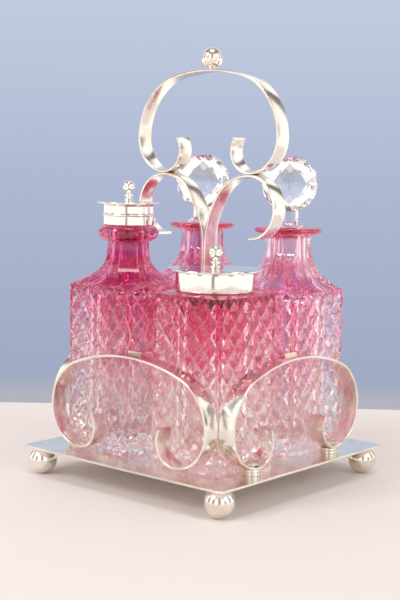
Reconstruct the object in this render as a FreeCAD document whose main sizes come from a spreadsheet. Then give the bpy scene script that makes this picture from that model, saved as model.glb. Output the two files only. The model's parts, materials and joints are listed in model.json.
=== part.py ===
"""Square plated cruet stand with four cut-glass bottles, as a parametric document.

The origin is the centre of the stand on the table, +Z is up and +X runs along one side
of the square plate. The front, back, left and right sides face -Y, +Y, -X and +X.
A mustard pot stands at the front right, a caster at the front left, and two stoppered
bottles at the back.
"""
import FreeCAD, Part
import math
import os

import Sketcher

document = FreeCAD.newDocument("cruet_set")
sheet = document.addObject("Spreadsheet::Sheet", "sizes")


class Size:
    """A length or angle that carries the expression it comes from."""

    def __init__(self, value, text):
        self.value = float(value)
        self.text = text

    def joined(self, other, sign, value):
        return Size(value, f"({self.text} {sign} {as_size(other).text})")

    def __add__(self, other):
        return self.joined(other, "+", self.value + as_size(other).value)

    def __sub__(self, other):
        return self.joined(other, "-", self.value - as_size(other).value)

    def __mul__(self, other):
        return self.joined(other, "*", self.value * as_size(other).value)

    def __truediv__(self, other):
        return self.joined(other, "/", self.value / as_size(other).value)

    def __neg__(self):
        return Size(-self.value, f"(0 - {self.text})")


def as_size(value):
    return value if isinstance(value, Size) else Size(value, repr(float(value)))


def root(size):
    return Size(math.sqrt(size.value), f"sqrt({size.text})")


def cosine(angle):
    return Size(math.cos(math.radians(angle.value)), f"cos({angle.text})")


def sine(angle):
    return Size(math.sin(math.radians(angle.value)), f"sin({angle.text})")


def driving(alias, value):
    """Write one driving dimension into the sheet, in millimetres or degrees."""
    driving.row += 1
    sheet.set(f"A{driving.row}", alias.replace("_", " "))
    sheet.set(f"B{driving.row}", str(value))
    sheet.setAlias(f"B{driving.row}", alias)
    return Size(value, f"sizes.{alias}")


driving.row = 0
ZERO = as_size(0)
DRILL_MARGIN = 1        # a cut starts and ends this far outside its piece
ROUND_EDGE = 1.001      # radius of a rounded edge over half its thickness
BORE_START = 1 / 3      # share of a neck's flare at which its bore begins
KNOB_TIERS = 4
KNOB_WIDE = 0.75        # radius of a wide tier over the radius of the knob's ball
KNOB_NARROW = 0.5

# ---------------------------------------------------------------- driving dimensions
plate_margin = driving("plate_margin", 5.5)     # plate left outside the scrolls
plate_thickness = driving("plate_thickness", 1.2)
plate_corner = driving("plate_corner", 3)
foot_radius = driving("foot_radius", 6.9)
foot_flat = driving("foot_flat", 0.25)          # height ground off under each ball
foot_sink = driving("foot_sink", 0.9)           # height cut off where the ball meets the plate

strip_width = driving("strip_width", 8.5)
strip_thickness = driving("strip_thickness", 1.2)
scroll_joint = driving("scroll_joint", 0.1)     # solder between neighbouring scrolls
scroll_crown = driving("scroll_crown", 50.2)    # outer height of the crown above the plate
scroll_crown_radius = driving("scroll_crown_radius", 90)
scroll_lower_radius = driving("scroll_lower_radius", 18.5)
scroll_curl_radius = driving("scroll_curl_radius", 11)
curl_past_side = driving("curl_past_side", 33)  # degrees a curl runs on past its widest point
collar_height = driving("collar_height", 2.9)
screw_radius = driving("screw_radius", 1.5)
screw_clearance = driving("screw_clearance", 0.05)
screw_head_radius = driving("screw_head_radius", 3)
screw_head_height = driving("screw_head_height", 1.2)
nut_radius = driving("nut_radius", 3.4)         # across the corners of the hexagon
nut_height = driving("nut_height", 2.2)
screw_tip = driving("screw_tip", 0.6)

divider_inset = driving("divider_inset", 0.5)   # how much narrower an arm is than a strip
divider_width = strip_width - divider_inset
divider_lap = driving("divider_lap", 2.1)       # how far an arm reaches over a scroll crown

arm_top = driving("arm_top", 132.4)             # above the plate
arm_height = driving("arm_height", 35.4)        # from where the strips part to the arms' crowns
arm_spread_radius = driving("arm_spread_radius", 45)
arm_shoulder_radius = driving("arm_shoulder_radius", 22)
arm_outer_radius = driving("arm_outer_radius", 16)
arm_curl_radius = driving("arm_curl_radius", 14.5)
stem_tab = driving("stem_tab", 10)
ring_half_width = driving("ring_half_width", 43.4)
ring_height = driving("ring_height", 49.2)
ring_crown_radius = driving("ring_crown_radius", 84)
ring_curl_radius = driving("ring_curl_radius", 11)
finial_radius = driving("finial_radius", 5.2)
finial_seat = driving("finial_seat", 1.6)       # radius of the soldered flat under the ball

bottle_width = driving("bottle_width", 41.6)
bottle_corner = driving("bottle_corner", 2.8)   # leg of the chamfer down each corner
bottle_aisle = driving("bottle_aisle", 13)      # between neighbouring bottles
bottle_clearance = driving("bottle_clearance", 0.4)     # from a bottle to a scroll
bottle_wall = driving("bottle_wall", 3.4)
bottle_base = driving("bottle_base", 8)
oil_shoulder = driving("oil_shoulder", 77.4)    # heights above the plate from here on
oil_flare = driving("oil_flare", 26.4)
neck_apothem = driving("neck_apothem", 10.5)
neck_bore = driving("neck_bore", 6.4)
lip_overhang = driving("lip_overhang", 5.7)     # of the lip over the neck
lip_thickness = driving("lip_thickness", 3.4)
stopper_ball = driving("stopper_ball", 13.9)
stopper_neck = driving("stopper_neck", 4.6)
stopper_neck_height = driving("stopper_neck_height", 6.7)
stopper_seat = driving("stopper_seat", 1)       # reach of the stopper's collar over the lip
stopper_collar_height = driving("stopper_collar_height", 1.2)
stopper_slope = driving("stopper_slope", 1)     # height of the sloping top of that collar
stopper_plug = driving("stopper_plug", 14)
plug_clearance = driving("plug_clearance", 0.4)

caster_shoulder = driving("caster_shoulder", 78.9)
caster_flare = driving("caster_flare", 20.8)
caster_neck = driving("caster_neck", 9.9)
bulge_radius = driving("bulge_radius", 14.4)
bulge_height = driving("bulge_height", 7.6)
spigot_wall = driving("spigot_wall", 2.6)
spigot_height = driving("spigot_height", 4.6)
caster_collar_wall = driving("caster_collar_wall", 3.1)
caster_collar_height = driving("caster_collar_height", 5.4)
caster_rim = driving("caster_rim", 0.6)
cap_skirt = driving("cap_skirt", 4.6)
cap_overhang = driving("cap_overhang", 3.1)     # of the cap's flange over its skirt
cap_wall = driving("cap_wall", 0.9)
cap_sleeve = driving("cap_sleeve", 6)           # how far the inner sleeve reaches down
small_knob = driving("small_knob", 2.95)
small_knob_stem = driving("small_knob_stem", 4.6)

pot_shoulder = driving("pot_shoulder", 78.9)
pot_neck = driving("pot_neck", 17.2)
pot_neck_height = driving("pot_neck_height", 9.6)
pot_neck_wall = driving("pot_neck_wall", 2.4)
pot_collar_gap = driving("pot_collar_gap", 1.4)     # bare glass between shoulder and collar
pot_collar_height = driving("pot_collar_height", 9)
pot_collar_wall = driving("pot_collar_wall", 0.9)
collar_lip_step = driving("collar_lip_step", 0.2)   # from the pot's bore to the collar's rim
lid_overhang = driving("lid_overhang", 3.6)     # of the lid over the collar
lid_thickness = driving("lid_thickness", 0.9)
lid_sleeve = driving("lid_sleeve", 3.2)
notch_radius = driving("notch_radius", 3)
notch_angle = driving("notch_angle", 23)        # degrees from +X towards -Y
large_knob = driving("large_knob", 3.4)
large_knob_stem = driving("large_knob_stem", 4.2)

# ------------------------------------------------------------------- derived heights
plate_bottom = foot_radius * 2 - foot_flat - foot_sink
plate_top = plate_bottom + plate_thickness
bottle_half = bottle_width / 2
bottle_spacing = bottle_half + bottle_aisle / 2     # from the stand's middle, both ways
side_inner = bottle_spacing + bottle_half + bottle_clearance    # inner faces of the scrolls
side_middle = side_inner + strip_width / 2
plate_side = (side_inner + strip_width + plate_margin) * 2
scroll_half_width = side_inner - scroll_joint
scroll_top = plate_top + scroll_crown
scroll_bottom_x = scroll_half_width - scroll_lower_radius
scroll_bottom_z = plate_top + collar_height
bottle_foot = plate_top                         # the bottles stand on the plate

document.recompute()


# -------------------------------------------------------------------- shared helpers
def new_body(label):
    body = document.addObject("PartDesign::Body", label)
    body.Label = label
    return body


def place(feature, x, y, z=ZERO, turn=0):
    """Bind a piece's position, turned by a whole quarter or other fixed angle about Z."""
    feature.Placement.Rotation = FreeCAD.Rotation(FreeCAD.Vector(0, 0, 1), turn)
    for axis, size in zip("xyz", (x, y, z)):
        feature.setExpression(f"Placement.Base.{axis}", size.text)


def new_sketch(body, name, role, offset=None):
    """An empty sketch on the body's own XY, XZ or YZ plane, moved along its normal."""
    sketch = body.newObject("Sketcher::SketchObject", name)
    plane = next(item for item in body.Origin.OriginFeatures if item.Role == role)
    sketch.AttachmentSupport = [(plane, "")]
    sketch.MapMode = "FlatFace"
    if offset is not None:
        sketch.setExpression("AttachmentOffset.Base.z", offset.text)
    return sketch


def constrain(sketch, kind, name, size, *places):
    index = sketch.addConstraint(Sketcher.Constraint(kind, *places, size.value))
    sketch.renameConstraint(index, name)
    sketch.setExpression(f"Constraints.{name}", size.text)


def arc_centre(start, end, radius, turn):
    """Centre of the short arc from start to end; turn is 1 anticlockwise, -1 clockwise."""
    chord = end - start
    rise = math.sqrt(max(radius ** 2 - (chord.Length / 2) ** 2, 0))
    normal = FreeCAD.Vector(-chord.y, chord.x, 0).normalize()
    return (start + end) / 2 + normal * rise * turn


def outline(sketch, points, arcs=None, tag="p"):
    """Draw a closed outline through the points, every corner bound to its sizes.

    arcs maps the number of a side's first point to (radius, turn); other sides are straight.
    """
    arcs = arcs or {}
    first = sketch.GeometryCount
    corners = [FreeCAD.Vector(x.value, y.value, 0) for x, y in points]
    count = len(corners)
    ends = []
    for number, start in enumerate(corners):
        end = corners[(number + 1) % count]
        if number not in arcs:
            sketch.addGeometry(Part.LineSegment(start, end), False)
            ends.append((1, 2))
            continue
        radius, turn = arcs[number]
        centre = arc_centre(start, end, radius.value, turn)
        angles = [math.atan2(p.y - centre.y, p.x - centre.x) for p in (start, end)]
        if turn < 0:
            angles.reverse()
        circle = Part.Circle(centre, FreeCAD.Vector(0, 0, 1), radius.value)
        sketch.addGeometry(Part.ArcOfCircle(circle, *angles), False)
        ends.append((1, 2) if turn > 0 else (2, 1))
    for number in range(count):
        following = (number + 1) % count
        sketch.addConstraint(Sketcher.Constraint(
            "Coincident", first + number, ends[number][1], first + following, ends[following][0]))
    for number, (x, y) in enumerate(points):
        here = (-1, 1, first + number, ends[number][0])
        constrain(sketch, "DistanceX", f"{tag}x{number}", x, *here)
        constrain(sketch, "DistanceY", f"{tag}y{number}", y, *here)
    for number, (radius, _turn) in arcs.items():
        constrain(sketch, "Radius", f"{tag}r{number}", radius, first + number)


def circle(sketch, x, y, radius, tag="c"):
    index = sketch.addGeometry(Part.Circle(
        FreeCAD.Vector(x.value, y.value, 0), FreeCAD.Vector(0, 0, 1), radius.value), False)
    constrain(sketch, "DistanceX", f"{tag}x", x, -1, 1, index, 3)
    constrain(sketch, "DistanceY", f"{tag}y", y, -1, 1, index, 3)
    constrain(sketch, "Radius", f"{tag}r", radius, index)


def pad(body, sketch, length, symmetric=False):
    feature = body.newObject("PartDesign::Pad", f"{sketch.Name}_pad")
    feature.Profile = sketch
    if symmetric:
        feature.SideType = "Symmetric"
    feature.setExpression("Length", length.text)
    return feature


def turned(body, name, points, arcs=None):
    """Revolve an outline in (radius, height) about the body's Z axis, adding material."""
    sketch = new_sketch(body, name, "XZ_Plane")
    outline(sketch, points, arcs)
    feature = body.newObject("PartDesign::Revolution", f"{name}_turn")
    feature.Profile = sketch
    feature.ReferenceAxis = (sketch, ["V_Axis"])
    feature.Angle = 360
    return feature


def bored(body, name, points):
    """Cut a revolved outline in (radius, height) out of the body."""
    sketch = new_sketch(body, name, "XZ_Plane")
    outline(sketch, points)
    feature = body.newObject("PartDesign::Groove", f"{name}_cut")
    feature.Profile = sketch
    feature.ReferenceAxis = (sketch, ["V_Axis"])
    feature.Angle = 360
    return feature


def hexagon(radius):
    """Corners of a hexagon about the origin."""
    half = radius / 2
    high = radius * root(as_size(3)) / 2
    return [(radius, ZERO), (half, high), (-half, high),
            (-radius, ZERO), (-half, -high), (half, -high)]


def square_corners(half, cut):
    """Corners of a square of the given half width with its corners cut at 45 degrees."""
    near = half - cut
    return [(half, -near), (half, near), (near, half), (-near, half),
            (-half, near), (-half, -near), (-near, -half), (near, -half)]


def curled_strip(label, arcs, thickness, start, tail, mirror=False):
    """A flat strip on edge that follows tangent arcs, each turning clockwise.

    arcs holds (centre x, centre z, radius) from the crown outwards, start is the direction
    (x, z) in which the strip leaves the first centre, and tail the one at the last centre.
    With mirror the other half is drawn too, so that the strip is a whole arch.
    """
    body = new_body(label)
    sketch = new_sketch(body, f"{label}_outline", "XZ_Plane")
    directions = [start]
    for (x, z, radius), (next_x, next_z, next_radius) in zip(arcs, arcs[1:]):
        gap = radius - next_radius
        directions.append(((next_x - x) / gap, (next_z - z) / gap))
    directions.append(tail)

    def run(offset):
        """Points along the strip, offset inwards from its outer face."""
        points = [(arcs[0][0] + (arcs[0][2] - offset) * start[0],
                   arcs[0][1] + (arcs[0][2] - offset) * start[1])]
        for (x, z, radius), (across, up) in zip(arcs, directions[1:]):
            points.append((x + (radius - offset) * across, z + (radius - offset) * up))
        return points

    outer = run(ZERO)
    inner = run(thickness)
    outer_radii = [radius for _x, _z, radius in arcs]
    inner_radii = [radius - thickness for radius in outer_radii]
    if mirror:
        outer = [(-x, z) for x, z in reversed(outer[1:])] + outer[1:]
        inner = [(-x, z) for x, z in reversed(inner[1:])] + inner[1:]
        outer_radii = outer_radii[:0:-1] + outer_radii
        inner_radii = inner_radii[:0:-1] + inner_radii
    points = outer + inner[::-1]
    sides = {number: (radius, -1) for number, radius in enumerate(outer_radii)}
    for number, radius in enumerate(reversed(inner_radii)):
        sides[len(outer) + number] = (radius, 1)
    outline(sketch, points, sides)
    pad(body, sketch, strip_width, symmetric=True)
    return body


# ------------------------------------------------------------------------- the stand
def quarter_places(across, along):
    """Four places, one pair on each of the right and left sides."""
    return [(across, along), (across, -along), (-across, along), (-across, -along)]


foot_place = plate_side / 2 - foot_radius
tab_screw_x = strip_thickness + (stem_tab - strip_thickness) / 2
screw_places = quarter_places(side_middle, scroll_bottom_x)
tab_places = [(tab_screw_x, ZERO), (-tab_screw_x, ZERO)]

# The handle's arms crown at arm_crown_x, where the ring stands on them.
handle_joint = plate_top + arm_top
stem_split = handle_joint - arm_height
arm_shoulder_z = handle_joint - arm_shoulder_radius
arm_rise = arm_height - arm_shoulder_radius
arm_gap = arm_spread_radius - arm_shoulder_radius
arm_crown_x = arm_spread_radius - root(arm_gap * arm_gap - arm_rise * arm_rise)


def make_plate():
    body = new_body("base_plate")
    half = plate_side / 2
    sketch = new_sketch(body, "plate_outline", "XY_Plane", plate_bottom)
    corner_arcs = {number: (plate_corner, 1) for number in (1, 3, 5, 7)}
    outline(sketch, square_corners(half, plate_corner), corner_arcs)
    for number, (x, y) in enumerate(screw_places + tab_places):
        circle(sketch, x, y, screw_radius + screw_clearance, f"hole{number}")
    pad(body, sketch, plate_thickness)


def make_foot(label, x, y):
    """A ball with a small flat to stand on and a wider one against the plate."""
    body = new_body(label)
    middle = foot_radius - foot_flat
    top = plate_bottom
    low = root(foot_radius * foot_radius - middle * middle)
    high = root(foot_radius * foot_radius - (top - middle) * (top - middle))
    points = [(ZERO, ZERO), (low, ZERO), (high, top), (ZERO, top)]
    turned(body, f"{label}_ball", points, {1: (foot_radius, 1)})
    place(body, x, y)


def scroll_arcs(half_width, top, side, crown, lower, curl):
    """Crown, shoulder, lower and curl arcs of an arch whose ends curl inwards."""
    drop = side - top + crown
    shoulder = (crown * crown - half_width * half_width - drop * drop) / ((crown - half_width) * 2)
    low_x = half_width - lower
    return [(ZERO, top - crown, crown), (half_width - shoulder, side, shoulder),
            (low_x, side, lower), (low_x, side - lower + curl, curl)]


def make_scroll(label, turn, x, y):
    side = scroll_bottom_z + scroll_lower_radius
    arcs = scroll_arcs(scroll_half_width, scroll_top, side, scroll_crown_radius,
                       scroll_lower_radius, scroll_curl_radius)
    tail = (-cosine(curl_past_side), sine(curl_past_side))
    body = curled_strip(label, arcs, strip_thickness, (ZERO, as_size(1)), tail, mirror=True)
    if turn in (90, 270):
        add_screw_holes(body, label)
    place(body, x, y, turn=turn)


def add_screw_holes(body, label):
    """Screw holes through the two lowest points of a scroll."""
    sketch = new_sketch(body, f"{label}_holes", "XY_Plane", scroll_bottom_z - DRILL_MARGIN)
    for number, x in enumerate((scroll_bottom_x, -scroll_bottom_x)):
        circle(sketch, x, ZERO, screw_radius + screw_clearance, f"hole{number}")
    feature = body.newObject("PartDesign::Pocket", f"{label}_drill")
    feature.Profile = sketch
    feature.Reversed = True
    feature.setExpression("Length", (strip_thickness + DRILL_MARGIN * 2).text)


def make_ring_group(label, places, bottom, height, outer, hole):
    """Identical flat rings as one body of separate solids, kept as a compound."""
    rings = []
    for number, (x, y) in enumerate(places):
        disc = document.addObject("Part::Cylinder", f"{label}_disc{number}")
        bore = document.addObject("Part::Cylinder", f"{label}_bore{number}")
        disc.setExpression("Radius", outer.text)
        bore.setExpression("Radius", hole.text)
        for part in (disc, bore):
            part.setExpression("Height", height.text)
            place(part, x, y, bottom)
        ring = document.addObject("Part::Cut", f"{label}_ring{number}")
        ring.Base = disc
        ring.Tool = bore
        rings.append(ring)
    group(label, rings)


def group(label, members):
    compound = document.addObject("Part::Compound", label)
    compound.Links = members
    compound.Label = label
    subparts.append(compound)


def make_screw(name, x, y, seat, tip):
    """A cheese-headed screw whose head rests on seat and whose shank ends at tip."""
    head = document.addObject("Part::Cylinder", f"{name}_head")
    head.setExpression("Radius", screw_head_radius.text)
    head.setExpression("Height", screw_head_height.text)
    place(head, x, y, seat)
    shank = document.addObject("Part::Cylinder", f"{name}_shank")
    shank.setExpression("Radius", screw_radius.text)
    shank.setExpression("Height", (seat - tip).text)
    place(shank, x, y, tip)
    screw = document.addObject("Part::Fuse", name)
    screw.Base = head
    screw.Tool = shank
    return screw


def make_nut(name, x, y):
    """A hexagon nut against the underside of the plate."""
    prism = document.addObject("Part::Prism", f"{name}_hexagon")
    prism.Polygon = 6
    prism.setExpression("Circumradius", nut_radius.text)
    prism.setExpression("Height", nut_height.text)
    place(prism, x, y, plate_bottom - nut_height)
    bore = document.addObject("Part::Cylinder", f"{name}_bore")
    bore.setExpression("Radius", (screw_radius + screw_clearance).text)
    bore.setExpression("Height", nut_height.text)
    place(bore, x, y, plate_bottom - nut_height)
    nut = document.addObject("Part::Cut", name)
    nut.Base = prism
    nut.Tool = bore
    return nut


def make_fasteners():
    tip = plate_bottom - nut_height - screw_tip
    hole = screw_radius + screw_clearance
    make_ring_group("scroll_collars", screw_places, plate_top, collar_height,
                    strip_width / 2, hole)
    curl_inside = scroll_curl_radius - strip_thickness
    head_rise = curl_inside - root(curl_inside * curl_inside - screw_head_radius * screw_head_radius)
    scroll_seat = scroll_bottom_z + strip_thickness + head_rise
    group("scroll_screws", [make_screw(f"scroll_screw{number}", x, y, scroll_seat, tip)
                            for number, (x, y) in enumerate(screw_places)])
    group("scroll_nuts", [make_nut(f"scroll_nut{number}", x, y)
                          for number, (x, y) in enumerate(screw_places)])
    tab_seat = plate_top + strip_thickness
    group("stem_screws", [make_screw(f"stem_screw{number}", x, y, tab_seat, tip)
                          for number, (x, y) in enumerate(tab_places)])
    group("stem_nuts", [make_nut(f"stem_nut{number}", x, y)
                        for number, (x, y) in enumerate(tab_places)])


def make_divider(label, turn, inner):
    """A flat arm from the stem to the crown of one scroll, which it laps over."""
    body = new_body(label)
    sketch = new_sketch(body, f"{label}_outline", "XY_Plane", scroll_top)
    half = divider_width / 2
    outer = side_inner + divider_lap
    outline(sketch, [(inner, -half), (outer, -half), (outer, half), (inner, half)])
    pad(body, sketch, strip_thickness)
    place(body, ZERO, ZERO, turn=turn)


def make_handle_strip(label, turn):
    """One of the two strips set back to back: tab, stem and curled arm."""
    outer_z = handle_joint - arm_outer_radius
    curl_x = arm_crown_x + arm_outer_radius - arm_curl_radius
    arcs = [(arm_spread_radius, stem_split, arm_spread_radius),
            (arm_crown_x, arm_shoulder_z, arm_shoulder_radius),
            (arm_crown_x, outer_z, arm_outer_radius),
            (curl_x, outer_z, arm_curl_radius)]
    body = curled_strip(label, arcs, strip_thickness, (as_size(-1), ZERO), (ZERO, as_size(-1)))
    sketch = new_sketch(body, f"{label}_stem", "XZ_Plane")
    step = plate_top + strip_thickness
    outline(sketch, [(ZERO, plate_top), (stem_tab, plate_top), (stem_tab, step),
                     (strip_thickness, step), (strip_thickness, stem_split), (ZERO, stem_split)])
    pad(body, sketch, strip_width, symmetric=True)
    hole = new_sketch(body, f"{label}_hole", "XY_Plane", plate_top - DRILL_MARGIN)
    circle(hole, tab_screw_x, ZERO, screw_radius + screw_clearance)
    feature = body.newObject("PartDesign::Pocket", f"{label}_drill")
    feature.Profile = hole
    feature.Reversed = True
    feature.setExpression("Length", (strip_thickness + DRILL_MARGIN * 2).text)
    place(body, ZERO, ZERO, turn=turn)


def make_handle_ring():
    lower_radius = ring_half_width - arm_crown_x
    arcs = scroll_arcs(ring_half_width, handle_joint + ring_height, handle_joint + lower_radius,
                       ring_crown_radius, lower_radius, ring_curl_radius)
    tail = (-cosine(curl_past_side), sine(curl_past_side))
    body = curled_strip("handle_ring", arcs, strip_thickness, (ZERO, as_size(1)), tail, mirror=True)
    place(body, ZERO, ZERO)


def make_finial():
    """A ball with a small flat where it is soldered to the crown of the ring."""
    body = new_body("finial")
    seat = handle_joint + ring_height
    middle = seat + root(finial_radius * finial_radius - finial_seat * finial_seat)
    points = [(ZERO, seat), (finial_seat, seat), (finial_radius, middle),
              (ZERO, middle + finial_radius)]
    turned(body, "finial_ball", points, {1: (finial_radius, 1), 2: (finial_radius, 1)})


# ----------------------------------------------------------------------- the bottles
# The flare's sections: share of its height, then what is left to go to the neck at the
# sides and at the cut corners, as shares of the way from the body.
FLARE = ((0, 1, 1), (0.13, 0.62, 0.38), (0.25, 0.27, 0.16), (0.42, 0.1, 0.06), (1, 0, 0))


def eight_sides(flat, corner):
    """Corners of an octagon from its distances to the sides and to the cut corners."""
    near = corner * root(as_size(2)) - flat
    return square_corners(flat, flat - near)


def glass_block(body, shoulder, flare, neck):
    """Square body with cut corners, and the eight-sided neck that flares into it."""
    base = new_sketch(body, f"{body.Label}_base", "XY_Plane", bottle_foot)
    outline(base, square_corners(bottle_half, bottle_corner))
    pad(body, base, shoulder - bottle_foot)
    corner_reach = (bottle_half * 2 - bottle_corner) / root(as_size(2))
    sections = []
    for number, (height, flat_share, corner_share) in enumerate(FLARE):
        section = new_sketch(body, f"{body.Label}_flare{number}", "XY_Plane", shoulder + flare * height)
        outline(section, eight_sides(neck + (bottle_half - neck) * flat_share,
                                     neck + (corner_reach - neck) * corner_share))
        sections.append(section)
    loft = body.newObject("PartDesign::AdditiveLoft", f"{body.Label}_neck")
    loft.Profile = sections[0]
    loft.Sections = sections[1:]
    loft.Ruled = True


def hollow(body, shoulder, bore, top, neck_level):
    """The round inside of a bottle, narrowing to the bore of its neck."""
    inside = bottle_half - bottle_wall
    floor = bottle_foot + bottle_base
    bored(body, f"{body.Label}_inside", [
        (ZERO, floor), (inside, floor), (inside, shoulder - bottle_wall),
        (bore, neck_level), (bore, top), (ZERO, top)])


def make_oil_bottle(label, x, y):
    body = new_body(label)
    shoulder = plate_top + oil_shoulder
    lip_bottom = shoulder + oil_flare
    lip_top = lip_bottom + lip_thickness
    glass_block(body, shoulder, oil_flare, neck_apothem)
    round_in = lip_thickness / 2
    flat_edge = neck_apothem + lip_overhang - round_in
    turned(body, f"{label}_lip", [(ZERO, lip_bottom), (flat_edge, lip_bottom), (flat_edge, lip_top),
                                  (ZERO, lip_top)], {1: (round_in * ROUND_EDGE, 1)})
    hollow(body, shoulder, neck_bore, lip_top, shoulder + oil_flare * BORE_START)
    place(body, x, y)
    return lip_top


def make_stopper(label, x, y, lip_top):
    body = new_body(label)
    collar = neck_bore + stopper_seat
    collar_top = lip_top + stopper_collar_height
    ball_foot = collar_top + stopper_neck_height
    middle = ball_foot + root(stopper_ball * stopper_ball - stopper_neck * stopper_neck)
    plug_top = neck_bore - plug_clearance
    plug_tip = plug_top - plug_clearance
    points = [(ZERO, lip_top - stopper_plug), (plug_tip, lip_top - stopper_plug), (plug_top, lip_top),
              (collar, lip_top), (collar, collar_top), (stopper_neck, collar_top + stopper_slope),
              (stopper_neck, ball_foot), (stopper_ball, middle), (ZERO, middle + stopper_ball)]
    turned(body, f"{label}_turned", points, {6: (stopper_ball, 1), 7: (stopper_ball, 1)})
    place(body, x, y)


def make_caster(x, y):
    glass = new_body("caster_glass")
    shoulder = plate_top + caster_shoulder
    neck_top = shoulder + caster_flare
    bulge_top = neck_top + bulge_height
    glass_block(glass, shoulder, caster_flare, caster_neck)
    flat_edge = bulge_radius - bulge_height / 2
    turned(glass, "caster_bulge", [(ZERO, neck_top), (flat_edge, neck_top), (flat_edge, bulge_top),
                                   (ZERO, bulge_top)], {1: (bulge_height / 2 * ROUND_EDGE, 1)})
    spigot_radius = neck_bore + spigot_wall
    spigot_top = bulge_top + spigot_height
    turned(glass, "caster_spigot", [(ZERO, bulge_top), (spigot_radius, bulge_top),
                                    (spigot_radius, spigot_top), (ZERO, spigot_top)])
    hollow(glass, shoulder, neck_bore, spigot_top, shoulder + caster_flare * BORE_START)
    place(glass, x, y)

    collar = new_body("caster_collar")
    caster_collar_radius = spigot_radius + caster_collar_wall
    collar_top = bulge_top + caster_collar_height
    rim = caster_collar_radius + caster_rim
    turned(collar, "caster_collar_wall", [
        (spigot_radius, bulge_top), (caster_collar_radius, bulge_top),
        (caster_collar_radius, collar_top - caster_rim * 2), (rim, collar_top - caster_rim),
        (rim, collar_top), (spigot_radius, collar_top)])
    place(collar, x, y)

    cap = new_body("caster_cap")
    flange_bottom = collar_top + cap_skirt
    flange_top = flange_bottom + cap_wall
    sleeve = neck_bore - plug_clearance
    skirt_inner = caster_collar_radius - cap_wall
    cap_flange = caster_collar_radius + cap_overhang
    turned(cap, "caster_cap_wall", [
        (sleeve - cap_wall, collar_top - cap_sleeve), (sleeve, collar_top - cap_sleeve),
        (sleeve, flange_bottom), (skirt_inner, flange_bottom), (skirt_inner, collar_top),
        (caster_collar_radius, collar_top), (caster_collar_radius, flange_bottom),
        (cap_flange, flange_bottom), (cap_flange, flange_top), (ZERO, flange_top),
        (ZERO, flange_bottom), (sleeve - cap_wall, flange_bottom)])
    place(cap, x, y)
    make_knob("caster_knob", x, y, flange_top, small_knob, small_knob_stem)


def make_knob(label, x, y, seat, ball, stem):
    """A ball on a stem of two tiers."""
    body = new_body(label)
    wide = ball * KNOB_WIDE
    narrow = ball * KNOB_NARROW
    tier = stem / KNOB_TIERS
    middle = seat + stem + root(ball * ball - narrow * narrow)
    points = [(ZERO, seat), (wide, seat), (wide, seat + tier), (narrow, seat + tier),
              (narrow, seat + tier * 2), (wide, seat + tier * 2),
              (wide, seat + tier * 3), (narrow, seat + tier * 3),
              (narrow, seat + stem), (ball, middle), (ZERO, middle + ball)]
    turned(body, f"{label}_turned", points, {8: (ball, 1), 9: (ball, 1)})
    place(body, x, y)


def make_mustard_pot(x, y):
    glass = new_body("mustard_glass")
    shoulder = plate_top + pot_shoulder
    neck_top = shoulder + pot_neck_height
    pot_bore = pot_neck - pot_neck_wall
    base = new_sketch(glass, "mustard_base", "XY_Plane", bottle_foot)
    outline(base, square_corners(bottle_half, bottle_corner))
    pad(glass, base, shoulder - bottle_foot)
    turned(glass, "mustard_neck", [(ZERO, shoulder), (pot_neck, shoulder), (pot_neck, neck_top),
                                   (ZERO, neck_top)])
    inside = bottle_half - bottle_wall
    floor = bottle_foot + bottle_base
    bored(glass, "mustard_inside", [
        (ZERO, floor), (inside, floor), (inside, shoulder - bottle_wall * 2), (pot_bore, shoulder),
        (pot_bore, neck_top), (ZERO, neck_top)])
    place(glass, x, y)

    collar = new_body("mustard_collar")
    collar_bottom = shoulder + pot_collar_gap
    collar_top = collar_bottom + pot_collar_height
    outer = pot_neck + pot_collar_wall
    lip_inner = pot_bore + collar_lip_step
    turned(collar, "mustard_collar_wall", [
        (pot_neck, collar_bottom), (outer, collar_bottom), (outer, collar_top),
        (lip_inner, collar_top), (lip_inner, neck_top), (pot_neck, neck_top)])
    place(collar, x, y)

    lid = new_body("mustard_lid")
    lid_radius = outer + lid_overhang
    lid_top = collar_top + lid_thickness
    sleeve = pot_bore - plug_clearance
    turned(lid, "mustard_lid_disc", [
        (ZERO, collar_top), (sleeve - lid_thickness, collar_top),
        (sleeve - lid_thickness, collar_top - lid_sleeve), (sleeve, collar_top - lid_sleeve),
        (sleeve, collar_top), (lid_radius, collar_top), (lid_radius, lid_top), (ZERO, lid_top)])
    notch = new_sketch(lid, "mustard_spoon_notch", "XY_Plane",
                       collar_top - DRILL_MARGIN)
    circle(notch, lid_radius * cosine(notch_angle), -(lid_radius * sine(notch_angle)), notch_radius)
    cut = lid.newObject("PartDesign::Pocket", "mustard_notch_cut")
    cut.Profile = notch
    cut.Reversed = True
    cut.setExpression("Length", (lid_thickness + DRILL_MARGIN * 2).text)
    place(lid, x, y)
    make_knob("mustard_knob", x, y, lid_top, large_knob, large_knob_stem)


# --------------------------------------------------------------------------- assembly
subparts = []

make_plate()
for name, x_sign, y_sign in (("front_left", -1, -1), ("front_right", 1, -1),
                             ("back_left", -1, 1), ("back_right", 1, 1)):
    make_foot(f"foot_{name}", foot_place * x_sign, foot_place * y_sign)

make_scroll("scroll_front", 0, ZERO, -side_middle)
make_scroll("scroll_back", 180, ZERO, side_middle)
make_scroll("scroll_right", 90, side_middle, ZERO)
make_scroll("scroll_left", 270, -side_middle, ZERO)
make_fasteners()

for name, turn in (("right", 0), ("back", 90), ("left", 180), ("front", 270)):
    stem_face = strip_thickness if turn % 180 == 0 else strip_width / 2
    make_divider(f"divider_{name}", turn, stem_face)
make_handle_strip("handle_strip_right", 0)
make_handle_strip("handle_strip_left", 180)
make_handle_ring()
make_finial()

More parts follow.
